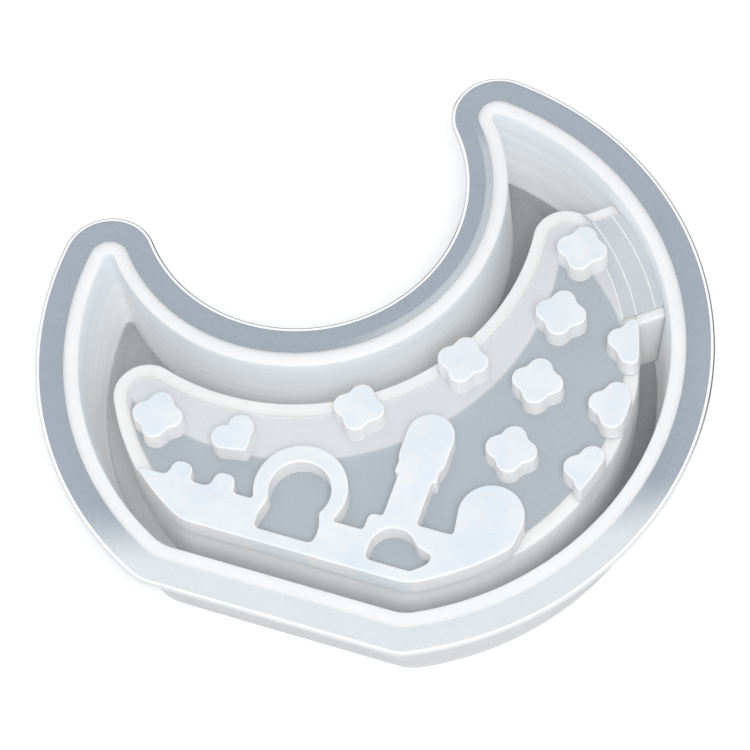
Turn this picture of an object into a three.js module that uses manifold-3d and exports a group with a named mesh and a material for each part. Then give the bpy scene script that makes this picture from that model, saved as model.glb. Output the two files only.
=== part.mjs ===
// A moon-shaped silicone casting mould: a pouring flange round a deep trough, and in the trough
// a hollow island whose thin roof carries flower, heart and castle bosses.
// Millimetres, +Z up. X runs along the straight front edge, and the front faces -Y.
import * as THREE from "three";
import { mergeVertices } from "three/addons/utils/BufferGeometryUtils.js";
import Module from "manifold-3d";

const wasm = await Module();
wasm.setup();

// Heights
const HEIGHT = 32;
const FLOOR_THICKNESS = 2;
const FLANGE_THICKNESS = 1.5;
const ROOF_THICKNESS = 1.8;
const RELIEF = 6.2; // how far the island's roof lies below the top plane, and so each boss's height

// The flange's outer edge in plan: the moon's circle, the bay's circle and the straight front
const MOON_RADIUS = 91;
const BAY_RADIUS = 44.5;
const BAY_DISTANCE = 52.8;
const BAY_ANGLE = THREE.MathUtils.degToRad(129.8);
const FRONT_DISTANCE = 83.8;

// Widths in plan, outside to inside
const FLANGE_WIDTH = 7.5;
const WALL = 4;
const TROUGH_WIDTH = 8.2;
const ISLAND_WALL = 4;

// Lean of the faces over the mould's depth; the trough's wall round the bay is steeper
const BODY_DRAFT = 1.5;
const TROUGH_DRAFT = 2.5;
const BAY_DRAFT = 0.5;

// Roundings in plan
const RIM_TIP = 5.5;
const TROUGH_TIP = 1.2;
const ISLAND_TIP = 9;
const HOLLOW_TIP = 5;
const CORNER = 12;

// The opening for a lamp's lead: two ribs across the trough under a thin sheet
const NOTCH_ANGLE = THREE.MathUtils.degToRad(38.6);
const NOTCH_WIDTH = 37.7;
const RIB_THICKNESS = 3.2;
const FIT_GAP = 0.3;

// Bosses
const FLOWER_RADIUS = 6.2;
const PETAL_DEPTH = 1.1;
const FLOWERS = [
  [45.1, 43.6],
  [45.5, 22.9],
  [45.7, 1.4],
  [45.2, -19.8],
  [24.9, 1.8],
  [2.9, -19.7],
  [-47.8, -37.2],
  [67.1, 0.4],
  [66.4, 20.0],
  [66.4, -19.6],
];
const HEART = { x: -26.8, y: -36.2, lobe: 3.7, length: 8.8, turn: -38 };

// The castle, seen flat: heights above the mould's middle run up +Y
const BASE_TOP = -53;
const MERLON = { width: 5.4, top: -48.2, centres: [-35.8, -23.9] };
const GATE = { x: -3.9, y: -46.6, radius: 12.5, door: 8.3, neck: 7.1, foot: 8.1 };
const STEP = { left: 15.6, top: -47.8 };
const TOWER = { left: 19.2, right: 28.4, top: -32.4, collar: 1.2, head: 6.4, headTop: -15.8 };
const SIDE_WALL_TOP = -47.7;
const DOME = { x: 46, y: -39.6, radius: 8.7, left: 38.4, right: 53.8 };
const CELLAR = { x: 24.7, radius: 6.2, tail: 35.2, tailTop: -54.6 };
const DOOR_FOOT = -60.6;

const STEPS = { moon: 24, tip: 9, bay: 30, corner: 4, lobe: 12 };

const SILICONE = { color: 0xe6ebee, roughness: 0.35, metalness: 0 };
const SHEET = { color: 0xb9c4cc, roughness: 0.3, metalness: 0 };
const FLOOR_SILICONE = { color: 0x9c9fa2, roughness: 0.4, metalness: 0 };
const BOSS_SILICONE = { color: 0xeef3f7, roughness: 0.35, metalness: 0 };

// Turns from one angle to another the long or short way that the sense asks for.
function turned(from, to, sense) {
  const full = 2 * Math.PI;
  return from + sense * ((((to - from) * sense) % full) + full) % full;
}

// Points along an arc, without its last one.
function arc(x, y, radius, from, to, steps) {
  return Array.from({ length: steps }, (_, i) => {
    const angle = from + ((to - from) * i) / steps;
    return new THREE.Vector2(x + radius * Math.cos(angle), y + radius * Math.sin(angle));
  });
}

// The moon outline set in from the flange's edge, as arcs that run into each other. The bay can
// have an inset of its own, and the horns end in a circle of radius tip.
function moonOutline(inset, tip, bayInset = inset) {
  const moon = MOON_RADIUS - inset;
  const bay = BAY_RADIUS + bayInset;
  const front = FRONT_DISTANCE - inset;
  const bayX = BAY_DISTANCE * Math.cos(BAY_ANGLE);
  const bayY = BAY_DISTANCE * Math.sin(BAY_ANGLE);
  const tipReach = moon - tip;
  const cosine = (tipReach ** 2 + BAY_DISTANCE ** 2 - (bay + tip) ** 2) / (2 * tipReach * BAY_DISTANCE);
  const spread = Math.acos(cosine);
  const [right, left] = [BAY_ANGLE - spread, BAY_ANGLE + spread];
  const at = (angle) => [tipReach * Math.cos(angle), tipReach * Math.sin(angle)];
  const [[rx, ry], [lx, ly]] = [at(right), at(left)];
  const fromBay = (x, y) => Math.atan2(y - bayY, x - bayX);
  const cornerY = CORNER - front;
  const cornerX = Math.sqrt((moon - CORNER) ** 2 - cornerY ** 2);
  const dip = Math.atan2(-cornerY, cornerX);
  const down = -Math.PI / 2;
  const rightTipEnd = turned(right, fromBay(rx, ry) + Math.PI, 1);
  const leftTipStart = fromBay(lx, ly) + Math.PI;
  return [
    ...arc(cornerX, cornerY, CORNER, down, -dip, STEPS.corner),
    ...arc(0, 0, moon, -dip, right, STEPS.moon),
    ...arc(rx, ry, tip, right, rightTipEnd, STEPS.tip),
    ...arc(bayX, bayY, bay, fromBay(rx, ry), turned(fromBay(rx, ry), fromBay(lx, ly), -1), STEPS.bay),
    ...arc(lx, ly, tip, leftTipStart, turned(leftTipStart, left, 1), STEPS.tip),
    ...arc(0, 0, moon, left, Math.PI + dip, STEPS.moon),
    ...arc(-cornerX, cornerY, CORNER, Math.PI + dip, Math.PI - down, STEPS.corner),
    new THREE.Vector2(-cornerX, -front),
  ];
}

// A closed three.js geometry as a manifold solid.
function solid(geometry) {
  const bare = geometry.clone();
  bare.deleteAttribute("normal");
  bare.deleteAttribute("uv");
  const merged = mergeVertices(bare, 1e-4);
  const vertProperties = merged.attributes.position.array;
  return new wasm.Manifold(
    new wasm.Mesh({ numProp: 3, vertProperties, triVerts: new Uint32Array(merged.index.array) }),
  );
}

// A straight prism over an outline, from one height to another.
function prism(outline, bottom, top) {
  const geometry = new THREE.ExtrudeGeometry(new THREE.Shape(outline), {
    depth: top - bottom,
    bevelEnabled: false,
  });
  return solid(geometry.translate(0, 0, bottom));
}

// A solid through outlines at several heights, lowest first, all with the same number of points.
function loft(levels) {
  const count = levels[0].outline.length;
  const positions = levels.flatMap(({ z, outline }) => outline.flatMap((p) => [p.x, p.y, z]));
  const faces = THREE.ShapeUtils.triangulateShape(levels[0].outline, []);
  const top = (levels.length - 1) * count;
  const index = faces.flatMap(([a, b, c]) => [a, c, b, top + a, top + b, top + c]);
  for (let level = 0; level < levels.length - 1; level += 1) {
    for (let i = 0; i < count; i += 1) {
      const a = level * count + i;
      const b = level * count + ((i + 1) % count);
      index.push(a, b, b + count, a, b + count, a + count);
    }
  }
  const geometry = new THREE.BufferGeometry();
  geometry.setAttribute("position", new THREE.Float32BufferAttribute(positions, 3));
  geometry.setIndex(index);
  return solid(geometry);
}

function box(left, right, front, back, bottom, top) {
  const size = new THREE.BoxGeometry(right - left, back - front, top - bottom);
  return solid(size.translate((left + right) / 2, (front + back) / 2, (bottom + top) / 2));
}

// A box that points away from the moon's centre at the notch's angle.
function radialBox(inner, outer, side, width, bottom, top) {
  const geometry = new THREE.BoxGeometry(outer - inner, width, top - bottom);
  geometry.translate((inner + outer) / 2, side, (bottom + top) / 2);
  return solid(geometry.rotateZ(NOTCH_ANGLE));
}

function named(name, material, shape) {
  const { vertProperties, triVerts } = shape.getMesh();
  const geometry = new THREE.BufferGeometry();
  geometry.setAttribute("position", new THREE.BufferAttribute(vertProperties, 3));
  geometry.setIndex(new THREE.BufferAttribute(triVerts, 1));
  geometry.computeVertexNormals();
  const mesh = new THREE.Mesh(geometry, new THREE.MeshStandardMaterial(material));
  mesh.name = name;
  return mesh;
}

// Insets and heights that follow from the driving dimensions
const RIM = FLANGE_WIDTH;
const TROUGH = RIM + WALL;
const ISLAND = TROUGH + TROUGH_WIDTH;
const HOLLOW = ISLAND + ISLAND_WALL;
const ROOF_TOP = HEIGHT - RELIEF;
const FLANGE_BOTTOM = HEIGHT - FLANGE_THICKNESS;

const flangeEdge = moonOutline(0, RIM_TIP + RIM);
const rimEdge = moonOutline(RIM, RIM_TIP);
const bodyFoot = moonOutline(RIM + BODY_DRAFT, RIM_TIP - BODY_DRAFT / 2);
const islandEdge = moonOutline(ISLAND, ISLAND_TIP);
const hollowEdge = moonOutline(HOLLOW, HOLLOW_TIP);

// Everything inside the outer wall, narrower towards the floor.
function troughSpace(gap) {
  const foot = moonOutline(TROUGH + TROUGH_DRAFT + gap, TROUGH_TIP, TROUGH + BAY_DRAFT + gap);
  return loft([
    { z: FLOOR_THICKNESS, outline: foot },
    { z: HEIGHT, outline: moonOutline(TROUGH + gap, TROUGH_TIP) },
  ]);
}

// The island's hollow, open downwards.
function hollowSpace() {
  return prism(hollowEdge, 0, ROOF_TOP);
}

function flange() {
  return prism(flangeEdge, FLANGE_BOTTOM, HEIGHT).subtract(prism(rimEdge, FLANGE_BOTTOM, HEIGHT));
}

function outerWall() {
  const outside = loft([
    { z: FLOOR_THICKNESS, outline: bodyFoot },
    { z: FLANGE_BOTTOM, outline: rimEdge },
    { z: HEIGHT, outline: rimEdge },
  ]);
  return outside.subtract(troughSpace(0));
}

// The notch between its two ribs, from the island's hollow to the outer wall.
function notchSpace(bottom, top) {
  const width = NOTCH_WIDTH - 2 * RIB_THICKNESS;
  return radialBox(MOON_RADIUS - HOLLOW - WALL, MOON_RADIUS - TROUGH, 0, width, bottom, top);
}

function troughFloor() {
  const plate = prism(bodyFoot, 0, FLOOR_THICKNESS).subtract(hollowSpace());
  return plate.subtract(notchSpace(0, FLOOR_THICKNESS));
}

function islandWall() {
  const wall = prism(islandEdge, FLOOR_THICKNESS, ROOF_TOP).subtract(hollowSpace());
  return wall.subtract(notchSpace(FLOOR_THICKNESS, ROOF_TOP));
}

function islandRoof() {
  return prism(hollowEdge, ROOF_TOP - ROOF_THICKNESS, ROOF_TOP);
}

// A rib crosses the trough from the island to the outer wall; side is 1 for the upper one.
function notchRib(side) {
  const centre = (side * (NOTCH_WIDTH - RIB_THICKNESS)) / 2;
  const [inner, outer] = [MOON_RADIUS - HOLLOW - WALL, MOON_RADIUS - TROUGH];
  const bar = radialBox(inner, outer, centre, RIB_THICKNESS, FLOOR_THICKNESS, ROOF_TOP);
  const island = prism(moonOutline(ISLAND - FIT_GAP, ISLAND_TIP), FLOOR_THICKNESS, ROOF_TOP);
  return bar.intersect(troughSpace(FIT_GAP)).subtract(island);
}

function notchSheet() {
  const sheet = notchSpace(ROOF_TOP - ROOF_THICKNESS, ROOF_TOP);
  return sheet.intersect(troughSpace(FIT_GAP)).subtract(hollowSpace());
}

// A boss stands on the roof and is trimmed flush with the island's outside.
function boss(outline) {
  return prism(outline, ROOF_TOP, HEIGHT).intersect(prism(islandEdge, ROOF_TOP, HEIGHT));
}

function flowerOutline(x, y) {
  const lean = THREE.MathUtils.degToRad(5);
  return Array.from({ length: 40 }, (_, i) => {
    const angle = (i / 40) * 2 * Math.PI;
    const radius = FLOWER_RADIUS + PETAL_DEPTH * Math.cos(4 * (angle - lean));
    return new THREE.Vector2(x + radius * Math.cos(angle), y + radius * Math.sin(angle));
  });
}

function heartOutline({ x, y, lobe, length, turn }) {
  const quarter = Math.PI / 4;
  const half = lobe * Math.SQRT1_2;
  const points = [
    ...arc(0, half, lobe, quarter, 5 * quarter, STEPS.lobe),
    ...arc(0, -half, lobe, 3 * quarter, 7 * quarter, STEPS.lobe),
    ...arc(length - lobe, 0, 1.4, -quarter, quarter, 4),
  ];
  const centre = new THREE.Vector2();
  return points.map((p) =>
    p.rotateAround(centre, THREE.MathUtils.degToRad(turn)).add(new THREE.Vector2(x, y)),
  );
}

// The gate's doorway: a round head, a slight waist, and a foot that flares.
function doorway() {
  const { x, y, door, neck, foot } = GATE;
  const waist = y - door + 1.6;
  return prism(
    [
      new THREE.Vector2(x - foot, DOOR_FOOT),
      new THREE.Vector2(x + foot, DOOR_FOOT),
      new THREE.Vector2(x + foot + 0.3, waist - 2.8),
      new THREE.Vector2(x + neck, waist + 1.2),
      ...arc(x, y - 0.6, door, -Math.PI / 5, (6 * Math.PI) / 5, 16),
      new THREE.Vector2(x - neck, waist + 1.2),
      new THREE.Vector2(x - foot - 0.3, waist - 2.8),
    ],
    ROOF_TOP,
    HEIGHT,
  );
}

// The low arch under the tower, with a tail that runs along the front to the right.
function cellar() {
  const { x, radius, tail, tailTop } = CELLAR;
  const springing = -50 - radius;
  return prism(
    [
      new THREE.Vector2(x - radius, DOOR_FOOT),
      new THREE.Vector2(x + radius, DOOR_FOOT),
      new THREE.Vector2(tail - 0.7, tailTop - 3),
      new THREE.Vector2(tail, tailTop - 1.4),
      new THREE.Vector2(tail - 0.6, tailTop),
      ...arc(x, springing, radius, Math.PI / 7, Math.PI, 14),
    ],
    ROOF_TOP,
    HEIGHT,
  );
}

function castleBlock(left, right, front, back) {
  const block = box(left, right, front, back, ROOF_TOP, HEIGHT);
  return block.intersect(prism(islandEdge, ROOF_TOP, HEIGHT)).subtract(doorway()).subtract(cellar());
}

// A round-headed piece of the skyline: a disc over a block, cut off level with the base.
function roundTower({ x, y, radius }, left, right) {
  const disc = boss(arc(x, y, radius, 0, 2 * Math.PI, 40));
  const over = box(left, right, BASE_TOP, y, ROOF_TOP, HEIGHT).intersect(prism(islandEdge, ROOF_TOP, HEIGHT));
  const above = box(-MOON_RADIUS, MOON_RADIUS, BASE_TOP, MOON_RADIUS, ROOF_TOP, HEIGHT);
  return disc.add(over).intersect(above);
}

function gate() {
  return roundTower(GATE, GATE.x - GATE.radius + 1, GATE.x + GATE.radius - 1).subtract(doorway());
}

function towerHead() {
  const { left, right, top, head, headTop } = TOWER;
  const x = (left + right) / 2;
  const shoulder = top + 2.6;
  const crown = headTop - head * 0.75;
  return boss([
    new THREE.Vector2(x - head + 1.6, top),
    new THREE.Vector2(x + head - 1.6, top),
    new THREE.Vector2(x + head, shoulder),
    new THREE.Vector2(x + head, crown),
    ...arc(x, crown, head, 0, Math.PI, 12).slice(1).map((p) => p.setY(crown + (p.y - crown) * 0.75)),
    new THREE.Vector2(x - head, crown),
    new THREE.Vector2(x - head, shoulder),
  ]);
}

const FRONT = -FRONT_DISTANCE;
const mould = new THREE.Group();
mould.add(named("pouring_flange", SHEET, flange()));
mould.add(named("outer_wall", SILICONE, outerWall()));
mould.add(named("trough_floor", FLOOR_SILICONE, troughFloor()));
mould.add(named("island_wall", SILICONE, islandWall()));
mould.add(named("island_roof", SHEET, islandRoof()));
mould.add(named("notch_rib_upper", SILICONE, notchRib(1)));
mould.add(named("notch_rib_lower", SILICONE, notchRib(-1)));
mould.add(named("notch_sheet", SHEET, notchSheet()));
FLOWERS.forEach(([x, y], i) => {
  mould.add(named(`flower_boss_${i + 1}`, BOSS_SILICONE, boss(flowerOutline(x, y))));
});
mould.add(named("heart_boss", BOSS_SILICONE, boss(heartOutline(HEART))));
mould.add(named("castle_base", BOSS_SILICONE, castleBlock(-48, DOME.right, FRONT, BASE_TOP)));
MERLON.centres.forEach((x, i) => {
  const merlon = castleBlock(x - MERLON.width / 2, x + MERLON.width / 2, BASE_TOP, MERLON.top);
  mould.add(named(`castle_merlon_${i + 1}`, BOSS_SILICONE, merlon));
});
mould.add(named("castle_gate", BOSS_SILICONE, gate()));
mould.add(named("castle_step", BOSS_SILICONE, castleBlock(STEP.left, TOWER.left, BASE_TOP, STEP.top)));
mould.add(
  named("castle_tower", BOSS_SILICONE, castleBlock(TOWER.left, TOWER.right, BASE_TOP, TOWER.top - 2.6)),
);
mould.add(
  named(
    "castle_tower_collar",
    BOSS_SILICONE,
    castleBlock(TOWER.left - TOWER.collar, TOWER.right + TOWER.collar, TOWER.top - 2.6, TOWER.top),
  ),
);
mould.add(named("castle_tower_head", BOSS_SILICONE, towerHead()));
mould.add(
  named("castle_side_wall", BOSS_SILICONE, castleBlock(TOWER.right, DOME.left, BASE_TOP, SIDE_WALL_TOP)),
);
mould.add(named("castle_dome", BOSS_SILICONE, roundTower(DOME, DOME.left, DOME.right)));

// The origin is the middle of the outline's box, on the surface that the mould stands on.
const bounds = new THREE.Box2().setFromPoints(flangeEdge);
const middle = bounds.getCenter(new THREE.Vector2());
mould.position.set(-middle.x, -middle.y, 0);

export default mould;
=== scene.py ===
import math

import bmesh
import bpy
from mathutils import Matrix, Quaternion, Vector
from mathutils.geometry import tessellate_polygon


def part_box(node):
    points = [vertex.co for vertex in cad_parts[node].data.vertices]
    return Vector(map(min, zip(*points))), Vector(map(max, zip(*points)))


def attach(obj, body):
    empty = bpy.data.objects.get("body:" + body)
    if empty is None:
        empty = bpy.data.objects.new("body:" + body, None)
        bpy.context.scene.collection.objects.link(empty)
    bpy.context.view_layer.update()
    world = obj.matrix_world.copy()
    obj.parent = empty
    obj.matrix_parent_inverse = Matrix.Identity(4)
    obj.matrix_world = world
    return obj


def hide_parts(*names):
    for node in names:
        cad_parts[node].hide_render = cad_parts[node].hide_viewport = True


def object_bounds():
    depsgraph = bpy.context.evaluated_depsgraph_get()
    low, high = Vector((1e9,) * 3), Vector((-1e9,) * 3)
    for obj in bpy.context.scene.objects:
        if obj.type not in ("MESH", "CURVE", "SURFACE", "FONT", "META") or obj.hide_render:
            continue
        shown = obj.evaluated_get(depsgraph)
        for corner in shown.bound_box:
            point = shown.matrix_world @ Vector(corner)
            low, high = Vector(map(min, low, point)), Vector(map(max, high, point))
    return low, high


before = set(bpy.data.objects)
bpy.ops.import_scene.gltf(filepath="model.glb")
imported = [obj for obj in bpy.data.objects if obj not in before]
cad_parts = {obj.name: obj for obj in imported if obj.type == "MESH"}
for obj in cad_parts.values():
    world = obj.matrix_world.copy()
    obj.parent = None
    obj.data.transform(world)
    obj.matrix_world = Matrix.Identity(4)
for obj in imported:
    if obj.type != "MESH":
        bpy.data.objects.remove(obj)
CAD_LOW, CAD_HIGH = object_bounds()

# A moon-shaped silicone casting mould: milky walls, clear sheets, and castle, heart and flower bosses.
# Metres, +Z up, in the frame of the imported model. The front of the mould faces -Y.
MM = 0.001


def low(node):
    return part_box(node)[0]


def high(node):
    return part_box(node)[1]


# Heights and insets from the flange's edge, read from the frame
TOP = CAD_HIGH.z
FLANGE_BOTTOM = low("pouring_flange").z
ROOF_TOP = high("island_roof").z
ROOF_BOTTOM = low("island_roof").z
FLOOR_TOP = high("trough_floor").z
RIM = low("outer_wall").y - CAD_LOW.y
FOOT = low("trough_floor").y - CAD_LOW.y
ISLAND = low("island_wall").y - CAD_LOW.y
HOLLOW = low("island_roof").y - CAD_LOW.y
MOON_RADIUS = (CAD_HIGH.x - CAD_LOW.x) / 2

# The moon's plan, which the boxes don't give
FRONT_DISTANCE = 83.8 * MM
BAY_RADIUS = 44.5 * MM
BAY_DISTANCE = 52.8 * MM
BAY_ANGLE = math.radians(129.8)
CORNER = 12 * MM
CENTRE = Vector(((CAD_LOW.x + CAD_HIGH.x) / 2, CAD_LOW.y + FRONT_DISTANCE))
BAY_CENTRE = CENTRE + BAY_DISTANCE * Vector((math.cos(BAY_ANGLE), math.sin(BAY_ANGLE)))

# The castle's openings
GATE_X = (low("castle_gate").x + high("castle_gate").x) / 2
CELLAR_X = CENTRE.x + 24.7 * MM
DOOR_FOOT = CENTRE.y - 60.6 * MM
CASTLE_LEFT = CENTRE.x - 60 * MM

# Walls and their lean
WALL = 4 * MM
TROUGH = RIM + WALL
TROUGH_DRAFT = 2.5 * MM
BAY_DRAFT = 0.5 * MM
TROUGH_FOOT = TROUGH + TROUGH_DRAFT
FLANGE_TIP = 13 * MM
ISLAND_TIP = 9 * MM
SHARPEST_TIP = 1.2 * MM

# The notch on the right
NOTCH_ANGLE = math.radians(38.6)
NOTCH_WIDTH = 37.7 * MM
RIB_THICKNESS = 3.2 * MM
RIB_FOOT = 0.1 * MM
NOTCH_INNER = MOON_RADIUS - HOLLOW - WALL
NOTCH_OUTER = MOON_RADIUS - TROUGH
NOTCH_REACH = NOTCH_OUTER - 0.2 * MM
NOTCH_LINE_RADII = (67.4 * MM, 71.2 * MM, 76.6 * MM)
NOTCH_LINE_WIDTH = 0.2 * MM

# The flowers' petals
PETAL_CENTRE = 3.65 * MM
PETAL_RADIUS = 3.65 * MM
PETAL_LEAN = math.radians(5)
FLOWER_STEPS = 120

# Soft edges of the moulding, and how far pieces reach into each other out of sight
SOFT_EDGE = 0.55 * MM
LINE_RADIUS = 0.3 * MM
LINE_HEIGHT = 0.035 * MM
# How far in from the flange's edge its painted white highlight band reaches
HIGHLIGHT_BAND_WIDTH = 1.05 * MM
# The flange's outermost band, which carries its painted dark line at the back
EDGE_WIDTH = 0.42 * MM
FOOT_FILLET = 0.9 * MM
BURIED = 0.4 * MM
PROUD = 0.03 * MM
# Where the bosses and the floor start and end
BOSS_FOOT = ROOF_TOP - 0.8 * MM
FLOOR_BOTTOM = 0.2 * MM
FLOOR_LAP = FLOOR_TOP + 0.05 * MM
SHEET_EDGE = 0.1 * MM
SMOOTHING_STEP = 0.3 * MM

NEARLY_STRAIGHT = math.radians(174)
STEPS = {"moon_right": 96, "moon_left": 44, "tip": 26, "bay": 110, "corner": 14, "fillet": 6}


# ---------------------------------------------------------------- plan outlines


def arc(centre, radius, start, end, steps):
    """Points along an arc, without its last one."""
    angles = (start + (end - start) * i / steps for i in range(steps))
    return [centre + radius * Vector((math.cos(a), math.sin(a))) for a in angles]


def turned(start, end, sense):
    """The angle that end has when it is reached from start in that sense."""
    return start + sense * (((end - start) * sense) % math.tau)


def moon_outline(inset, tip, bay_inset=None):
    """The moon set in from the flange's edge, from the front's right corner round to its left one."""
    moon = MOON_RADIUS - inset
    bay = BAY_RADIUS + (inset if bay_inset is None else bay_inset)
    front = FRONT_DISTANCE - inset
    reach = moon - tip
    cosine = (reach**2 + BAY_DISTANCE**2 - (bay + tip) ** 2) / (2 * reach * BAY_DISTANCE)
    spread = math.acos(cosine)
    right, left = BAY_ANGLE - spread, BAY_ANGLE + spread
    right_tip = CENTRE + reach * Vector((math.cos(right), math.sin(right)))
    left_tip = CENTRE + reach * Vector((math.cos(left), math.sin(left)))
    corner_y = CORNER - front
    corner_x = math.sqrt((moon - CORNER) ** 2 - corner_y**2)
    dip = math.atan2(-corner_y, corner_x)

    def from_bay(point):
        return math.atan2(point.y - BAY_CENTRE.y, point.x - BAY_CENTRE.x)

    into_bay = turned(right, from_bay(right_tip) + math.pi, 1)
    out_of_bay = from_bay(left_tip) + math.pi
    bay_end = turned(from_bay(right_tip), from_bay(left_tip), -1)
    right_corner = CENTRE + Vector((corner_x, corner_y))
    left_corner = CENTRE + Vector((-corner_x, corner_y))
    down = -math.pi / 2
    outline = [
        *arc(right_corner, CORNER, down, -dip, STEPS["corner"]),
        *arc(CENTRE, moon, -dip, right, STEPS["moon_right"]),
        *arc(right_tip, tip, right, into_bay, STEPS["tip"]),
        *arc(BAY_CENTRE, bay, from_bay(right_tip), bay_end, STEPS["bay"]),
        *arc(left_tip, tip, out_of_bay, turned(out_of_bay, left, 1), STEPS["tip"]),
        *arc(CENTRE, moon, left, math.pi + dip, STEPS["moon_left"]),
        *arc(left_corner, CORNER, math.pi + dip, math.pi - down, STEPS["corner"]),
        left_corner + Vector((0, -CORNER)),
    ]
    return [Vector((p.x, min(p.y, CAD_HIGH.y))) for p in outline]


def wall_outline(inset):
    """The outline of a face of the outer wall, which leans less round the bay inside the trough."""
    leaning = max(0, inset - TROUGH)
    bay_inset = inset - leaning + leaning * BAY_DRAFT / TROUGH_DRAFT
    return moon_outline(inset, max(SHARPEST_TIP, FLANGE_TIP - inset), bay_inset)


def island_outline(inset):
    return moon_outline(inset, max(SHARPEST_TIP, ISLAND_TIP + ISLAND - inset))


def rotated(vector, angle):
    cos, sin = math.cos(angle), math.sin(angle)
    return Vector((vector.x * cos - vector.y * sin, vector.x * sin + vector.y * cos))


def filleted(corners):
    """A closed outline through corners (x, y, radius), with an arc at each corner that has a radius."""
    points = []
    count = len(corners)
    for i, (x, y, radius) in enumerate(corners):
        here = Vector((x, y))
        before = Vector(corners[i - 1][:2]) - here
        after = Vector(corners[(i + 1) % count][:2]) - here
        angle = before.angle(after, math.pi)
        if radius <= 0 or angle > NEARLY_STRAIGHT:
            points.append(here)
            continue
        reach = min(radius / math.tan(angle / 2), 0.49 * before.length, 0.49 * after.length)
        radius = reach * math.tan(angle / 2)
        inward = (before.normalized() + after.normalized()).normalized()
        centre = here + inward * radius / math.sin(angle / 2)
        start = here + before.normalized() * reach - centre
        turn = start.angle_signed(here + after.normalized() * reach - centre)
        steps = STEPS["fillet"]
        points += [centre + rotated(start, -turn * k / steps) for k in range(steps + 1)]
    return points


def smoothed(outline, passes=12):
    """An outline walked in even steps, with its corners eased a little more on every pass."""
    points = []
    for here, onward in zip(outline, outline[1:] + outline[:1]):
        length = (onward - here).length
        if length > 0.4 * SMOOTHING_STEP:
            parts = max(1, round(length / SMOOTHING_STEP))
            points += [here.lerp(onward, k / parts) for k in range(parts)]
    for _ in range(passes):
        before, after = points[-1:] + points, points[1:] + points[:1]
        points = [(a + 2 * b + c) / 4 for a, b, c in zip(before, points, after)]
    return points


def inset_outline(outline, distance):
    """A counter-clockwise outline moved inwards by a distance; a negative one moves it outwards."""
    count = len(outline)
    moved = []
    for i, point in enumerate(outline):
        along = (point - outline[i - 1]).normalized()
        onward = (outline[(i + 1) % count] - point).normalized()
        inward = Vector((-along.y - onward.y, along.x + onward.x)).normalized()
        half = max(0.5, inward.dot(Vector((-along.y, along.x))))
        moved.append(point + inward * distance / half)
    return moved


# ---------------------------------------------------------------- meshes


def new_piece(name, vertices, faces, flat=()):
    """A mesh piece with smooth faces, apart from those numbered in flat."""
    mesh = bpy.data.meshes.new(name)
    mesh.from_pydata(vertices, [], faces)
    mesh.validate()
    piece = bpy.data.objects.new(name, mesh)
    bpy.context.scene.collection.objects.link(piece)
    work = bmesh.new()
    work.from_mesh(mesh)
    work.faces.ensure_lookup_table()
    for face in work.faces:
        face.smooth = True
    for i in flat:
        work.faces[i].smooth = False
    bmesh.ops.recalc_face_normals(work, faces=work.faces)
    work.to_mesh(mesh)
    work.free()
    return piece


def soften(piece, degrees=35):
    """Marks the edges that turn by more than an angle as sharp, so that shading breaks there."""
    work = bmesh.new()
    work.from_mesh(piece.data)
    for edge in work.edges:
        edge.smooth = edge.calc_face_angle(0) < math.radians(degrees)
    work.to_mesh(piece.data)
    work.free()
    return piece


def swept_ring(name, profile, outline_at):
    """A closed ring whose section is a closed profile of (inset, z), swept round outline_at(inset)."""
    rings = [[(p.x, p.y, z) for p in outline_at(inset)] for inset, z in profile]
    count = len(rings[0])
    vertices = [v for ring in rings for v in ring]
    faces = []
    for level in range(len(rings)):
        start, onward = level * count, (level + 1) % len(rings) * count
        for i in range(count):
            j = (i + 1) % count
            faces.append((start + i, start + j, onward + j, onward + i))
    return soften(new_piece(name, vertices, faces))


def relief(name, outer, holes, bottom, top, edge=SOFT_EDGE, draft=0.0):
    """A raised shape with leaning sides, a rounded top edge and through holes.

    Outlines run counter-clockwise.
    """
    levels = [(0, bottom)]
    for k in range(STEPS["fillet"] + 1):
        angle = math.pi / 2 * k / STEPS["fillet"]
        levels.append((draft + edge * (1 - math.cos(angle)), top - edge + edge * math.sin(angle)))
    vertices, faces, caps = [], [], {"bottom": [], "top": []}
    for sense, outline in [(1, outer)] + [(-1, hole) for hole in holes]:
        count, first = len(outline), len(vertices)
        for inset, z in levels:
            vertices += [(p.x, p.y, z) for p in inset_outline(outline, sense * inset)]
        for level in range(len(levels) - 1):
            start = first + level * count
            for i in range(count):
                j = (i + 1) % count
                faces.append((start + i, start + j, start + j + count, start + i + count))
        caps["bottom"].append(range(first, first + count))
        caps["top"].append(range(first + (len(levels) - 1) * count, first + len(levels) * count))
    sides = len(faces)
    for loops in caps.values():
        indices = [i for loop in loops for i in loop]
        triangles = tessellate_polygon([[Vector(vertices[i]) for i in loop] for loop in loops])
        faces += [tuple(indices[k] for k in triangle) for triangle in triangles]
    return soften(new_piece(name, vertices, faces, flat=range(sides, len(faces))))


def turned_point(along, side, z):
    """A point out from the moon's centre at the notch's angle, and to its left by side."""
    cos, sin = math.cos(NOTCH_ANGLE), math.sin(NOTCH_ANGLE)
    return (CENTRE.x + along * cos - side * sin, CENTRE.y + along * sin + side * cos, z)


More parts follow.
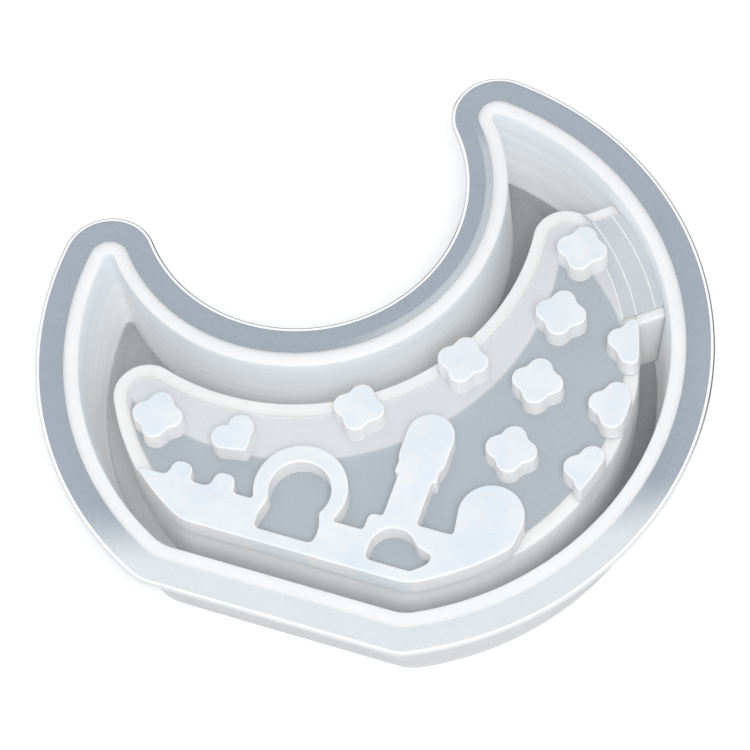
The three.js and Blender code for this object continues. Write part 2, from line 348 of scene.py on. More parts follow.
def cut_notch(piece, half_width, top):
    """Cuts the notch's block out of a piece, up to top. A piece that crosses itself comes out uncut."""
    around = ((NOTCH_INNER, -1), (NOTCH_OUTER, -1), (NOTCH_OUTER, 1), (NOTCH_INNER, 1))
    vertices = [turned_point(a, s * half_width, z) for z in (-MM, top) for a, s in around]
    faces = [(0, 1, 2, 3), (4, 5, 6, 7), (0, 1, 5, 4), (1, 2, 6, 5), (2, 3, 7, 6), (3, 0, 4, 7)]
    cutter = new_piece("cutter", vertices, faces)
    modifier = piece.modifiers.new("notch", "BOOLEAN")
    modifier.object, modifier.operation, modifier.solver = cutter, "DIFFERENCE", "EXACT"
    evaluated = piece.evaluated_get(bpy.context.evaluated_depsgraph_get())
    cut = bpy.data.meshes.new_from_object(evaluated)
    piece.modifiers.clear()
    piece.data = cut
    bpy.data.objects.remove(cutter)
    soften(piece)


def bead(name, path, radius, sides=10):
    """A fine raised line: a closed tube along a path of points."""
    vertices, faces = [], []
    count = len(path)
    for i, point in enumerate(path):
        along = (path[min(i + 1, count - 1)] - path[max(i - 1, 0)]).normalized()
        across = along.cross(Vector((0, 0, 1))).normalized()
        up = across.cross(along)
        for k in range(sides):
            angle = math.tau * k / sides
            vertices.append(point + radius * (math.cos(angle) * across + math.sin(angle) * up))
    for i in range(count - 1):
        for k in range(sides):
            a, b = i * sides + k, i * sides + (k + 1) % sides
            faces.append((a, b, b + sides, a + sides))
    faces += [tuple(range(sides)), tuple(range((count - 1) * sides, count * sides))]
    return soften(new_piece(name, vertices, faces), 60)


# ---------------------------------------------------------------- materials

SILICONE_IOR = 1.41
MILKY_ROUGHNESS = 0.34
MILKY_BUMP = 0.12
CLEAR_ROUGHNESS = 0.26
CLEAR_BUMP = 0.07
SKIN_DEPTH = 0.4 * MM
NOISE_RANGE = (0.3, 0.7)
THROUGH_TINT = (0.93, 0.96, 0.98)
STREAK_SQUEEZE = (14, 14, 420)


def add(tree, kind, inputs=None, **properties):
    """A shader node with sockets and properties set; a value that is itself a socket is linked."""
    made = tree.nodes.new("ShaderNode" + kind)
    for key, value in properties.items():
        setattr(made, key, value)
    for key, value in (inputs or {}).items():
        if isinstance(value, bpy.types.NodeSocket):
            tree.links.new(value, made.inputs[key])
        else:
            made.inputs[key].default_value = value
    return made


def ramp(tree, factor, stops):
    """A colour ramp through (position, colour) stops."""
    made = add(tree, "ValToRGB", {"Fac": factor})
    elements = made.color_ramp.elements
    while len(elements) < len(stops):
        elements.new(0.5)
    for element, (position, colour) in zip(elements, stops):
        element.position = position
        element.color = (*colour, 1)
    return made.outputs["Color"]


def mixed(tree, factor, a, b, blend="MIX"):
    """A blend of two colours, each a socket or a value."""
    made = add(tree, "Mix", data_type="RGBA", blend_type=blend)
    for socket, value in ((0, factor), (6, a), (7, b)):
        if isinstance(value, bpy.types.NodeSocket):
            tree.links.new(value, made.inputs[socket])
        else:
            made.inputs[socket].default_value = value if socket == 0 else (*value, 1)
    return made.outputs[2]


def new_material(name):
    material = bpy.data.materials.new(name)
    material.use_nodes = True
    tree = material.node_tree
    tree.nodes.clear()
    where = add(tree, "TexCoord").outputs["Object"]
    return material, tree, where


def rescaled(tree, value, source, target):
    """A value taken from one range to another."""
    limits = {"From Min": source[0], "From Max": source[1], "To Min": target[0], "To Max": target[1]}
    return add(tree, "MapRange", {"Value": value, **limits}).outputs["Result"]


def finish_surface(tree, where, colour, roughness, fine_bump):
    """The silicone's own surface: faint cloudiness, uneven gloss and a fine skin."""
    clouds = add(tree, "TexNoise", {"Vector": where, "Scale": 55, "Detail": 4, "Roughness": 0.6})
    cloudy = ramp(tree, clouds.outputs["Fac"], [(0.3, (0.95, 0.955, 0.96)), (0.7, (1, 1, 1))])
    skin = add(tree, "TexNoise", {"Vector": where, "Scale": 620, "Detail": 6, "Roughness": 0.62})
    gloss = rescaled(tree, skin.outputs["Fac"], NOISE_RANGE, (roughness - 0.06, roughness + 0.08))
    depth = {"Strength": fine_bump, "Distance": SKIN_DEPTH}
    bump = add(tree, "Bump", {"Height": skin.outputs["Fac"], **depth})
    inputs = {
        "Base Color": mixed(tree, 1.0, colour, cloudy, "MULTIPLY"),
        "Roughness": gloss,
        "IOR": SILICONE_IOR,
        "Normal": bump.outputs["Normal"],
    }
    return add(tree, "BsdfPrincipled", inputs)


def height_in(tree, where, bottom, top):
    height = add(tree, "SeparateXYZ", {"Vector": where}).outputs["Z"]
    return add(tree, "MapRange", {"Value": height, "From Min": bottom, "From Max": top}).outputs["Result"]


def milky_silicone(name, colour_at, depth):
    """Thick silicone that scatters light to some depth."""
    material, tree, where = new_material(name)
    surface = finish_surface(tree, where, colour_at(tree, where), MILKY_ROUGHNESS, MILKY_BUMP)
    surface.inputs["Subsurface Weight"].default_value = 1.0
    surface.inputs["Subsurface Radius"].default_value = (1.0, 1.0, 1.0)
    surface.inputs["Subsurface Scale"].default_value = depth
    tree.links.new(surface.outputs["BSDF"], add(tree, "OutputMaterial").inputs["Surface"])
    return material


def clear_silicone(name, colour_at, clearness):
    """A thin sheet that lets part of the light straight through."""
    material, tree, where = new_material(name)
    surface = finish_surface(tree, where, colour_at(tree, where), CLEAR_ROUGHNESS, CLEAR_BUMP)
    through = add(tree, "BsdfTransparent", {"Color": (*THROUGH_TINT, 1)})
    haze = add(tree, "TexNoise", {"Vector": where, "Scale": 24, "Detail": 3})
    amount = rescaled(tree, haze.outputs["Fac"], NOISE_RANGE, (clearness - 0.04, clearness + 0.04))
    mix = add(tree, "MixShader", {0: amount, 1: surface.outputs["BSDF"], 2: through.outputs["BSDF"]})
    tree.links.new(mix.outputs["Shader"], add(tree, "OutputMaterial").inputs["Surface"])
    return material


def plan_distance(tree, where, centre):
    """How far a surface is from a point of the plan."""
    flat = add(tree, "VectorMath", {0: where, 1: (1, 1, 0)}, operation="MULTIPLY").outputs["Vector"]
    apart = add(tree, "VectorMath", {0: flat, 1: (centre.x, centre.y, 0)}, operation="DISTANCE")
    return apart.outputs["Value"]


def step_between(tree, value, start, end):
    """0 up to start and 1 from end, or the other way round when end is lower."""
    limits = {"Value": value, "From Min": start, "From Max": end}
    return add(tree, "MapRange", limits, interpolation_type="SMOOTHSTEP").outputs["Result"]


def larger(tree, a, b):
    return add(tree, "Math", {0: a, 1: b}, operation="MAXIMUM").outputs["Value"]


# Painted light: the walls are lighter low in the trough than higher up and on their tops
WALL_TOP = (0.80, 0.81, 0.815)
WALL_UPPER = (0.86, 0.91, 0.95)
WALL_LOWER = (0.95, 0.945, 0.94)
BODY = (0.58, 0.59, 0.60)
BOSS_TOP = (0.71, 0.765, 0.815)
BOSS_PALE = (0.77, 0.79, 0.805)
BOSS_SIDE_PAINTED_GLOW = (0.96, 0.95, 0.94)
BOSS_THIN = (0.87, 0.91, 0.95)
# The trough floor's painted shade at the back and painted light along the front
FLOOR_PAINTED_SHADE = (0.35, 0.35, 0.355)
FLOOR_PAINTED_HALF_SHADE = (0.58, 0.585, 0.60)
FLOOR_PAINTED_LIGHT = (0.93, 0.935, 0.94)
FLANGE_PAINTED_SHADE = (0.33, 0.38, 0.44)
FLANGE_PAINTED_LIGHT = (0.78, 0.81, 0.83)
ROOF_PAINTED_SHADE = (0.51, 0.555, 0.60)
ROOF_PAINTED_LIGHT = (0.83, 0.84, 0.86)
ISLAND_UPPER = (0.90, 0.90, 0.89)
ISLAND_TOP = (0.80, 0.80, 0.79)
# The flange edge's painted highlight and painted shade
EDGE_PAINTED_HIGHLIGHT = (0.68, 0.70, 0.71)
EDGE_PAINTED_SHADE = (0.1, 0.11, 0.12)

# How far the foot of an upright wall under a clear sheet shows away from its top, seen from the front; it
# places the roof's painted light
SEEN_THROUGH = Vector((5.9, -11.6)) * MM


def under_openings(tree, where):
    """1 on the castle's front face below the doorway and the cellar's arch, where silicone is thin."""
    place_at = add(tree, "SeparateXYZ", {"Vector": where})
    front = step_between(tree, place_at.outputs["Y"], DOOR_FOOT, DOOR_FOOT - 2 * MM)
    windows = [
        product(
            tree,
            step_between(tree, place_at.outputs["X"], middle - 9 * MM, middle - 7 * MM),
            step_between(tree, place_at.outputs["X"], middle + 9 * MM, middle + 7 * MM),
        )
        for middle in (GATE_X, CELLAR_X)
    ]
    return product(tree, front, larger(tree, *windows))


def floor_painted_shade_and_light(tree, where):
    """Painted shade and light: grey, lighter towards the front and nearly white along it."""
    forward = add(tree, "SeparateXYZ", {"Vector": where}).outputs["Y"]
    graded = mixed(tree, step_between(tree, forward, 10 * MM, -60 * MM), FLOOR_PAINTED_SHADE, FLOOR_PAINTED_HALF_SHADE)
    return mixed(tree, step_between(tree, forward, -58 * MM, -72 * MM), graded, FLOOR_PAINTED_LIGHT)


def boss_colour(tree, where):
    """Painted light: sides whiter than the tops, for light glowing through the silicone; tops that wander
    between bluish and pale.
    """
    patches = add(tree, "TexNoise", {"Vector": where, "Scale": 110, "Detail": 2})
    top = mixed(tree, step_between(tree, patches.outputs["Fac"], 0.3, 0.7), BOSS_TOP, BOSS_PALE)
    facing = add(tree, "SeparateXYZ", {"Vector": add(tree, "TexCoord").outputs["Normal"]}).outputs["Z"]
    side = mixed(tree, under_openings(tree, where), BOSS_SIDE_PAINTED_GLOW, BOSS_THIN)
    # The facing mix paints the sides lighter than the tops
    return mixed(tree, step_between(tree, facing, 0.72, 0.94), side, top)


def island_colour(tree, where):
    # Painted light: the island's wall is lighter low down than higher up and on its top
    graded = [(0.3, WALL_LOWER), (0.95, ISLAND_UPPER), (0.99, ISLAND_TOP)]
    return ramp(tree, height_in(tree, where, 0, ROOF_TOP), graded)


def evenly(a, b):
    """A colour that wanders between two."""

    def colour_at(tree, where):
        return mixed(tree, add(tree, "TexNoise", {"Vector": where, "Scale": 40}).outputs["Fac"], a, b)

    return colour_at


def product(tree, *values):
    """The product of sockets or numbers."""
    result = values[0]
    for value in values[1:]:
        result = add(tree, "Math", {0: result, 1: value}, operation="MULTIPLY").outputs["Value"]
    return result


def flange_painted_shade_and_light(tree, where):
    """Painted shade and light: darker at the back, lighter at the front, with a lighter strip by the bay's
    wall at its right.
    """
    ahead = add(tree, "VectorMath", {0: where, 1: (0.35, -0.94, 0)}, operation="DOT_PRODUCT").outputs["Value"]
    near_front = step_between(tree, ahead, 46 * MM, 66 * MM)
    bay = plan_distance(tree, where, BAY_CENTRE)
    beside = step_between(tree, bay, BAY_RADIUS + 0.7 * RIM, BAY_RADIUS + 0.78 * RIM)
    on_bay = step_between(tree, plan_distance(tree, where, CENTRE), 74 * MM, 66 * MM)
    across = add(tree, "SeparateXYZ", {"Vector": where}).outputs["X"]
    right = step_between(tree, across, -12 * MM, 8 * MM)
    strip = product(tree, beside, on_bay, right, 0.5)
    # The mix paints shade at the back, and light at the front and in the strip
    return mixed(tree, larger(tree, near_front, strip), FLANGE_PAINTED_SHADE, FLANGE_PAINTED_LIGHT)


def edge_painted_shade_and_highlight(tree, where):
    """The flange's edge: a painted dark line of shade along the top of it at the back, and a white painted
    highlight elsewhere.
    """
    backward = add(tree, "SeparateXYZ", {"Vector": add(tree, "TexCoord").outputs["Normal"]}).outputs["Y"]
    height = add(tree, "SeparateXYZ", {"Vector": where}).outputs["Z"]
    upper = step_between(tree, height, TOP - 0.5 * MM, TOP - 0.4 * MM)
    dark = product(tree, step_between(tree, backward, -0.15, 0.1), upper)
    return mixed(tree, dark, EDGE_PAINTED_HIGHLIGHT, EDGE_PAINTED_SHADE)


def streaks(tree, where):
    """Faint marks that run round the walls at one height."""
    squeezed = add(tree, "VectorMath", {0: where, 1: STREAK_SQUEEZE}, operation="MULTIPLY")
    pattern = {"Scale": 1, "Detail": 3, "Roughness": 0.5}
    marks = add(tree, "TexNoise", {"Vector": squeezed.outputs["Vector"], **pattern})
    return ramp(tree, marks.outputs["Fac"], [(0.35, (0.93, 0.935, 0.94)), (0.62, (1, 1, 1))])


def wall_colour(tree, where):
    """The body's outside, and inside the trough a colour graded by height: painted light, lighter low down
    than up the walls and on the top.
    """
    deep = RIM + 0.6 * WALL
    inside = product(
        tree,
        step_between(tree, plan_distance(tree, where, CENTRE), MOON_RADIUS - deep + MM, MOON_RADIUS - deep),
        step_between(tree, plan_distance(tree, where, BAY_CENTRE), BAY_RADIUS + deep - MM, BAY_RADIUS + deep),
        step_between(
            tree,
            add(tree, "SeparateXYZ", {"Vector": where}).outputs["Y"],
            CAD_LOW.y + deep - MM,
            CAD_LOW.y + deep,
        ),
    )
    graded = ramp(tree, height_in(tree, where, 0, TOP), [(0.35, WALL_LOWER), (0.96, WALL_UPPER)])
    sides = mixed(tree, 1.0, mixed(tree, inside, BODY, graded), streaks(tree, where), "MULTIPLY")
    top = step_between(tree, height_in(tree, where, 0, TOP), 0.985, 0.998)
    return mixed(tree, top, sides, WALL_TOP)


def roof_painted_shade_and_light(tree, where):
    """Painted shade, with painted light where the island's walls on the bay's side and at the left would show
    through.
    """
    bay = plan_distance(tree, where, BAY_CENTRE + SEEN_THROUGH)
    moon = plan_distance(tree, where, CENTRE + SEEN_THROUGH)
    edge = BAY_RADIUS + HOLLOW
    rim = MOON_RADIUS - HOLLOW
    walls = larger(
        tree,
        step_between(tree, bay, edge + 0.5 * MM, edge - 0.5 * MM),
        step_between(tree, moon, rim - 0.5 * MM, rim + 0.5 * MM),
    )
    return mixed(tree, walls, ROOF_PAINTED_SHADE, ROOF_PAINTED_LIGHT)


wall_material = milky_silicone("wall_silicone", wall_colour, 6 * MM)
island_material = milky_silicone("island_silicone", island_colour, 4 * MM)
boss_material = milky_silicone("boss_silicone", boss_colour, 0.5 * MM)
line_material = milky_silicone("line_silicone", evenly((0.85, 0.87, 0.9), (0.9, 0.92, 0.94)), 0.02 * MM)
# White silicone painted as highlights: the flange's edge band, and the notch's fine lines, which are real
# raised beads
highlight_material = milky_silicone("painted_highlight_silicone", evenly((0.85, 0.86, 0.87), (0.9, 0.91, 0.92)), 0.5 * MM)
edge_material = milky_silicone("edge_silicone", edge_painted_shade_and_highlight, 0.2 * MM)
flange_material = clear_silicone("flange_silicone", flange_painted_shade_and_light, 0.35)
roof_material = clear_silicone("roof_silicone", roof_painted_shade_and_light, 0.4)
# The notch's sheet wanders between the roof's painted shade and painted light tones
notch_material = clear_silicone("notch_silicone", evenly(ROOF_PAINTED_SHADE, ROOF_PAINTED_LIGHT), 0.3)
floor_material = clear_silicone("floor_silicone", floor_painted_shade_and_light, 0.1)


# ---------------------------------------------------------------- the pieces


def place(piece, material, slot, *nodes):
    """Gives a piece its material and its place in the frame."""
    piece.data.materials.clear()
    for each in material if isinstance(material, list) else [material]:
        piece.data.materials.append(each)
    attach(piece, "root")
    if nodes:
        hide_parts(*nodes)
    return piece


def profile(*corners):
    return [(p.x, p.y) for p in filleted(corners)]


def make_flange():
    """The flange's sheet, with a painted white highlight band along its edge and a painted dark line of its
    own outside it.
    """
    round_lip = 0.74 * MM
    section = profile(
        (0, FLANGE_BOTTOM, round_lip),
        (0, TOP, round_lip),
        (HIGHLIGHT_BAND_WIDTH, TOP, 0),
        (RIM + BURIED, TOP - PROUD, 0),
        (RIM + BURIED, FLANGE_BOTTOM, 0),
    )
    piece = swept_ring("pouring_flange_sheet", section, wall_outline)
    place(piece, [flange_material, highlight_material, edge_material], "sheet_silicone", "pouring_flange")
    around = len(piece.data.polygons) // len(section)
    for face in piece.data.polygons:
        level = face.index // around
        inset = (section[level][0] + section[(level + 1) % len(section)][0]) / 2
        # The outermost band takes the painted dark edge line, and the band inside it the painted white
        # highlight
        if inset < EDGE_WIDTH:
            face.material_index = 2
        elif inset < HIGHLIGHT_BAND_WIDTH:
            face.material_index = 1


def make_outer_wall():
    section = profile(
        (RIM, TOP, 0.15 * MM),
        (RIM, FLANGE_BOTTOM, 0),
        (FOOT, 0, 1.0 * MM),
        (TROUGH_FOOT + FOOT_FILLET, 0, 0),
        (TROUGH_FOOT + FOOT_FILLET, FLOOR_LAP, 0),
        (TROUGH_FOOT, FLOOR_LAP, FOOT_FILLET),
        (TROUGH, TOP, SOFT_EDGE),
    )
    piece = swept_ring("outer_wall_silicone", section, wall_outline)
    place(piece, wall_material, "wall_silicone", "outer_wall")


def floor_outline(share):
    """Outlines across the trough's floor, from inside the wall at 0 to inside the island at 1."""
    inset = TROUGH_FOOT - BURIED + share * (ISLAND - TROUGH_FOOT + 2 * BURIED)
    bay = TROUGH + BAY_DRAFT - BURIED + share * (ISLAND - TROUGH - BAY_DRAFT + 2 * BURIED)
    tip = SHARPEST_TIP + share * (ISLAND_TIP - SHARPEST_TIP)
    return moon_outline(inset, tip, bay)


def make_floor():
    """The trough's floor. Its ring crosses itself, so the notch's cut doesn't take and it stays whole."""
    section = [(0, FLOOR_BOTTOM), (0, FLOOR_TOP), (1, FLOOR_TOP), (1, FLOOR_BOTTOM)]
    piece = swept_ring("trough_floor_sheet", section, floor_outline)
    cut_notch(piece, NOTCH_WIDTH / 2 - RIB_THICKNESS, 2 * FLOOR_TOP)
    place(piece, floor_material, "floor_silicone", "trough_floor")


def make_island_wall():
    section = profile(
        (ISLAND, ROOF_TOP, SOFT_EDGE),
        (ISLAND, 0, 0.3 * MM),
        (HOLLOW, 0, 0.3 * MM),
        (HOLLOW, ROOF_TOP - PROUD, 0),
    )
    piece = swept_ring("island_wall_silicone", section, island_outline)
    cut_notch(piece, NOTCH_WIDTH / 2 - RIB_THICKNESS - PROUD, 2 * TOP)
    place(piece, island_material, "wall_silicone", "island_wall")


def make_roof():
    outline = island_outline(HOLLOW - BURIED)
    piece = relief("island_roof_sheet", outline, [], ROOF_BOTTOM, ROOF_TOP - 2 * PROUD, SHEET_EDGE)
    place(piece, roof_material, "sheet_silicone", "island_roof")


def make_rib(name, side):
    """A rib from inside the island's wall to inside the outer wall, with soft top edges.

    Its foot is just above theirs, so that the undersides aren't in one plane.
    """
    inner = MOON_RADIUS - HOLLOW - 0.8 * MM
    middle, half = side * (NOTCH_WIDTH - RIB_THICKNESS) / 2, RIB_THICKNESS / 2
    section = filleted(
        [
            (middle - half, RIB_FOOT, 0),
            (middle + half, RIB_FOOT, 0),
            (middle + half, ROOF_TOP - PROUD, SOFT_EDGE),
            (middle - half, ROOF_TOP - PROUD, SOFT_EDGE),
        ]
    )
    count = len(section)
    vertices = [turned_point(along, p.x, p.y) for along in (inner, NOTCH_REACH) for p in section]
    faces = [(i, (i + 1) % count, (i + 1) % count + count, i + count) for i in range(count)]
    faces += [tuple(range(count)), tuple(range(count, 2 * count))]
    piece = soften(new_piece(name + "_bar", vertices, faces))
    place(piece, island_material, "wall_silicone", name)


def make_notch_sheet():
    """The thin sheet between the ribs, bounded by the hollow's edge and the outer wall."""
    half = NOTCH_WIDTH / 2 - RIB_THICKNESS + 0.1 * MM

    def edge(radius):
        turn = math.asin(half / radius)
        start, end = NOTCH_ANGLE - turn, NOTCH_ANGLE + turn
        last = CENTRE + radius * Vector((math.cos(end), math.sin(end)))
        return arc(CENTRE, radius, start, end, 24) + [last]

    outline = edge(NOTCH_REACH) + edge(MOON_RADIUS - HOLLOW + BURIED)[::-1]
    piece = relief("notch_sheet_clear", outline, [], ROOF_BOTTOM, ROOF_TOP - 2 * PROUD, SHEET_EDGE)
    place(piece, notch_material, "sheet_silicone", "notch_sheet")
    # The notch's fine lines are real raised beads, painted white as highlights
    for number, radius in enumerate(NOTCH_LINE_RADII, 1):
        path = [Vector((p.x, p.y, ROOF_TOP - 0.1 * MM)) for p in edge(radius)]
        place(bead(f"notch_line_{number}", path, NOTCH_LINE_WIDTH), highlight_material, "wall_silicone")


def flower_outline(number):
    """Four round petals about the boss's middle, trimmed flush with the island's outside."""
    first_low, first_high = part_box("flower_boss_1")
    here_low, here_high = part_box(f"flower_boss_{number}")
    middle = Vector((here_low.x + (first_high.x - first_low.x) / 2, (here_low.y + here_high.y) / 2))
    points = []
    for i in range(FLOWER_STEPS):
        angle = math.tau * i / FLOWER_STEPS
        aside = (angle - PETAL_LEAN + math.pi / 4) % (math.pi / 2) - math.pi / 4
        across = PETAL_CENTRE * math.sin(aside)
        reach = PETAL_CENTRE * math.cos(aside) + math.sqrt(PETAL_RADIUS**2 - across**2)
        points.append(middle + reach * Vector((math.cos(angle), math.sin(angle))))
    return smoothed(trimmed([(p.x, p.y, 0) for p in points]))


def trimmed(corners):
    """Corners (x, y, radius) clipped by the round front of the island, with soft new corners."""
    edge = island_outline(ISLAND - 2 * PROUD)
    lap = STEPS["corner"] + STEPS["moon_right"]
    front = edge[-(STEPS["corner"] + STEPS["moon_left"] + 1):] + edge[:lap]
    kept = corners
    for a, b in zip(front, front[1:]):
        if (b - a).length < 1e-7:
            continue
        normal = Vector((a.y - b.y, b.x - a.x)).normalized()
        depth = [normal.dot(Vector(c[:2]) - a) for c in kept]
        clipped = []
        for i, corner in enumerate(kept):
            before, d0, d1 = kept[i - 1], depth[i - 1], depth[i]
            if (d0 < 0) != (d1 < 0):
                share = d0 / (d0 - d1)
                x, y = (before[k] + share * (corner[k] - before[k]) for k in (0, 1))
                clipped.append((x, y, MM))
            if d1 >= 0:
                clipped.append(corner)
        kept = clipped
    return filleted(kept)


def make_flowers():
    for number in range(1, 11):
        name = f"flower_boss_{number}"
        piece = relief(name + "_petals", flower_outline(number), [], BOSS_FOOT, TOP, draft=0.3 * MM)
        place(piece, boss_material, "boss_silicone", name)


def make_heart():
    """Two round lobes and a blunt point, turned towards the front right."""
    lobe, length, turn = 3.7 * MM, 8.8 * MM, math.radians(-38)
    middle = CENTRE + Vector((-26.8, -36.2)) * MM
    half = lobe * math.sqrt(0.5)
    quarter = math.pi / 4
    points = [
        *arc(Vector((0, half)), lobe, quarter, 5 * quarter, 26),
        *arc(Vector((0, -half)), lobe, 3 * quarter, 7 * quarter, 26),
        *arc(Vector((length - lobe, 0)), 1.6 * MM, -quarter, quarter, 12),
    ]
    outline = [middle + rotated(p, turn) for p in points]
    piece = relief("heart_boss_soft", outline, [], BOSS_FOOT, TOP, draft=0.2 * MM)
    place(piece, boss_material, "boss_silicone", "heart_boss")


CASTLE_NODES = sorted(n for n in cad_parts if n.startswith("castle_"))


def castle_skyline():
    """The castle's corners (x, y, radius), counter-clockwise, with its foot below the front."""
    base = high("castle_base").y
    head_low, head_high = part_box("castle_tower_head")
    gate_low, gate_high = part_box("castle_gate")
    dome_low, dome_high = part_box("castle_dome")
    gate_radius = (gate_high.x - gate_low.x) / 2
    gate_middle = Vector(((gate_low.x + gate_high.x) / 2, gate_high.y - gate_radius))
    gate_dip = math.asin((gate_middle.y - base) / gate_radius)
    dome_radius = (dome_high.x - dome_low.x) / 2
    dome_middle = Vector(((dome_low.x + dome_high.x) / 2, dome_high.y - dome_radius))
    step_low, step_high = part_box("castle_step")
    tower_low, tower_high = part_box("castle_tower")
    collar_low, collar_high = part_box("castle_tower_collar")
    side_top = high("castle_side_wall").y
    below = CAD_LOW.y
    soft, crisp = 1.5 * MM, 0.8 * MM
    merlons = []
    for number in (1, 2):
        m_low, m_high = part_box(f"castle_merlon_{number}")
        merlons += [
            (m_low.x - 0.5 * MM, base, soft),
            (m_low.x, m_high.y, 2.3 * MM),
            (m_high.x, m_high.y, 2.3 * MM),
            (m_high.x + 0.5 * MM, base, soft),
        ]
    gate = [
        (p.x, p.y, crisp if i == 0 else 0)
        for i, p in enumerate(arc(gate_middle, gate_radius, math.pi + gate_dip, -gate_dip, 72))
    ]
    head_radius = (head_high.x - head_low.x) / 2
    head_middle = Vector(((head_low.x + head_high.x) / 2, head_high.y - head_radius))
    head = [(p.x, p.y, 0) for p in arc(head_middle, head_radius, math.pi, 0, 48)]
    dome = [(p.x, p.y, 0) for p in arc(dome_middle, dome_radius, math.radians(190), math.radians(-12), 64)]
    left_to_right = [
        (CASTLE_LEFT, base, 0),
        *merlons,
        *gate,
        (gate_middle.x + gate_radius * math.cos(gate_dip), base, crisp),
        (step_low.x, base, crisp),
        (step_low.x, step_high.y, 1.4 * MM),
        (tower_low.x, step_high.y, crisp),
        (tower_low.x, collar_low.y, 0.5 * MM),
        (collar_low.x, collar_low.y, 0.9 * MM),
        (collar_low.x, collar_high.y, 0.9 * MM),
        (head_low.x + 1.2 * MM, collar_high.y, 0.5 * MM),
        (head_low.x, collar_high.y + 2.4 * MM, 1.5 * MM),
        *head,
        (head_high.x, collar_high.y + 2.4 * MM, 1.5 * MM),
        (head_high.x - 1.2 * MM, collar_high.y, 0.5 * MM),
        (collar_high.x, collar_high.y, 0.9 * MM),
        (collar_high.x, collar_low.y, 0.9 * MM),
        (tower_high.x, collar_low.y, 0.5 * MM),
        (tower_high.x, side_top, crisp),
        (dome_low.x + 1.1 * MM, side_top, crisp),
        *dome,
        (dome_high.x - 0.9 * MM, side_top, crisp),
        (dome_high.x - 0.9 * MM, below, 0),
        (CASTLE_LEFT, below, 0),
    ]
    return left_to_right[::-1]


def door_outline():
    """The gate's doorway: a round head, a slight waist, and a foot that flares."""
    gate_low, gate_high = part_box("castle_gate")
    radius = (gate_high.x - gate_low.x) / 2
    x, y = (gate_low.x + gate_high.x) / 2, gate_high.y - radius
    door, neck, foot = 8.3 * MM, 7.1 * MM, 8.1 * MM
    waist = y - door + 1.6 * MM
    head = arc(Vector((x, y - 0.6 * MM)), door, -math.pi / 5, 6 * math.pi / 5, 44)
    return filleted(
        [
            (x - foot, DOOR_FOOT, 1.2 * MM),
            (x + foot, DOOR_FOOT, 1.2 * MM),
            (x + foot + 0.3 * MM, waist - 2.8 * MM, 1.6 * MM),
            (x + neck, waist + 1.2 * MM, 1.4 * MM),
            *[(p.x, p.y, 0) for p in head],
            (x - neck, waist + 1.2 * MM, 1.4 * MM),
            (x - foot - 0.3 * MM, waist - 2.8 * MM, 1.6 * MM),
        ]
    )


def cellar_outline():
    """The low arch under the tower, with a tail to the right."""
    x, radius, tail = CELLAR_X, 6.2 * MM, CENTRE.x + 35.2 * MM
    tail_top = CENTRE.y - 54.6 * MM
    springing = CENTRE.y - 50 * MM - radius
    head = arc(Vector((x, springing)), radius, math.pi / 7, math.pi, 40)
    return filleted(
        [
            (x - radius, DOOR_FOOT, 1.2 * MM),
            (x + radius, DOOR_FOOT, 1.2 * MM),
            (tail - 0.7 * MM, tail_top - 3 * MM, 1.0 * MM),
            (tail, tail_top - 1.4 * MM, 0.8 * MM),
            (tail - 0.6 * MM, tail_top, 0.8 * MM),
            *[(p.x, p.y, 0) for p in head],
        ]
    )


def make_line(name, path):
    """A fine raised line on the castle's top."""
    points = [Vector((p.x, p.y, TOP - LINE_RADIUS)) for p in path]
    place(bead(name, points, LINE_RADIUS), line_material, "boss_silicone")


def make_castle_lines():
    """A line along the base on either side of the gate, and a curl on the dome."""
    base = high("castle_base").y - 2.4 * MM
    gate_low, gate_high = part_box("castle_gate")
    spans = {
        "castle_line_left": (CENTRE.x - 44 * MM, gate_low.x + MM),
        "castle_line_right": (gate_high.x - MM, low("castle_step").x + 2 * MM),
    }
    for name, (start, end) in spans.items():
        make_line(name, [Vector((start + (end - start) * i / 20, base)) for i in range(21)])
    dome_low, dome_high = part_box("castle_dome")
    radius = (dome_high.x - dome_low.x) / 2
    middle = Vector((dome_low.x + radius, dome_high.y - radius))
    turns = [math.radians(200 - 8 * i) for i in range(56)]
    curl = []
    for i, angle in enumerate(turns):
        curl.append(middle + radius * (0.78 - 0.01 * i) * Vector((math.cos(angle), math.sin(angle))))
    make_line("castle_dome_curl", curl)


def make_castle():
    outline = smoothed(trimmed(castle_skyline()), 7)
    holes = [smoothed(door_outline()), smoothed(cellar_outline())]
    piece = relief("castle_relief", outline, holes, BOSS_FOOT, TOP - LINE_HEIGHT)
    place(piece, boss_material, "boss_silicone", *CASTLE_NODES)
    make_castle_lines()


# ---------------------------------------------------------------- camera, light and floor

CAMERA_TARGET = Vector((-2.8 * MM, 0.7 * MM, 4.1 * MM))
CAMERA_HEADING = math.radians(-63.07)
CAMERA_ELEVATION = math.radians(61.64)
CAMERA_ROLL = math.radians(-9.04)
CAMERA_DISTANCE = 775 * MM
LENS = 134.4
SENSOR = 36

STAGE_HALF = 2.0
STAGE_DROP = 0.02 * MM
STAGE_GLOW = 0.16
WORLD_STRENGTH = 0.6
LIGHTS = {"key": ((0.30, -0.47, 1.05), 0.5, 8.2), "back_fill": ((-0.5, 0.5, 0.8), 0.8, 1.2)}


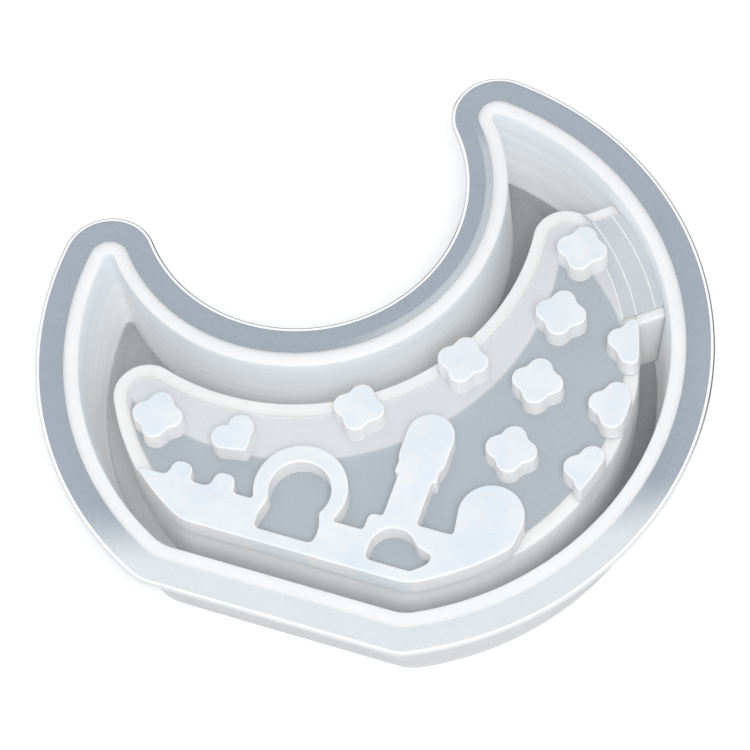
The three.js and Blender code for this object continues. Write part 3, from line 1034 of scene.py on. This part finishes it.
def make_camera():
    camera = bpy.data.objects.new("camera", bpy.data.cameras.new("camera"))
    bpy.context.scene.collection.objects.link(camera)
    away = Vector(
        (
            math.cos(CAMERA_HEADING) * math.cos(CAMERA_ELEVATION),
            math.sin(CAMERA_HEADING) * math.cos(CAMERA_ELEVATION),
            math.sin(CAMERA_ELEVATION),
        )
    )
    camera.location = CAMERA_TARGET + CAMERA_DISTANCE * away
    camera.rotation_mode = "QUATERNION"
    roll = Quaternion((0, 0, 1), CAMERA_ROLL)
    camera.rotation_quaternion = (-away).to_track_quat("-Z", "Y") @ roll
    camera.data.lens = LENS
    camera.data.sensor_width = SENSOR
    camera.data.clip_start, camera.data.clip_end = 0.01, 20
    bpy.context.scene.camera = camera


def area_light(name, place_at, size, power):
    """A round light aimed at the origin."""
    light = bpy.data.objects.new(name, bpy.data.lights.new(name, "AREA"))
    bpy.context.scene.collection.objects.link(light)
    light.data.shape = "DISK"
    light.data.size = size
    light.data.energy = power
    light.location = place_at
    light.rotation_mode = "QUATERNION"
    light.rotation_quaternion = (-Vector(place_at)).to_track_quat("-Z", "Y")


def make_stage():
    corners = [(x * STAGE_HALF, y * STAGE_HALF, 0) for x, y in ((-1, -1), (1, -1), (1, 1), (-1, 1))]
    floor = new_piece("floor", corners, [(0, 1, 2, 3)])
    material, tree, where = new_material("pale_floor")
    grain = add(tree, "TexNoise", {"Vector": where, "Scale": 9, "Detail": 2})
    colour = ramp(tree, grain.outputs["Fac"], [(0.3, (0.90, 0.905, 0.91)), (0.7, (0.92, 0.925, 0.93))])
    glow = {"Emission Color": (1, 0.99, 0.98, 1), "Emission Strength": STAGE_GLOW}
    surface = add(tree, "BsdfPrincipled", {"Base Color": colour, "Roughness": 0.7, **glow})
    tree.links.new(surface.outputs["BSDF"], add(tree, "OutputMaterial").inputs["Surface"])
    floor.data.materials.append(material)
    floor.location.z = -STAGE_DROP

    world = bpy.data.worlds.new("studio")
    world.use_nodes = True
    background = world.node_tree.nodes["Background"]
    background.inputs["Color"].default_value = (0.975, 0.985, 1.0, 1)
    background.inputs["Strength"].default_value = WORLD_STRENGTH
    bpy.context.scene.world = world
    for name, (place_at, size, power) in LIGHTS.items():
        area_light(name, place_at, size, power)
    bpy.context.scene.view_settings.view_transform = "Standard"


make_camera()
make_stage()
make_flange()
make_outer_wall()
make_floor()
make_island_wall()
make_roof()
make_rib("notch_rib_upper", 1)
make_rib("notch_rib_lower", -1)
make_notch_sheet()
make_flowers()
make_heart()
make_castle()
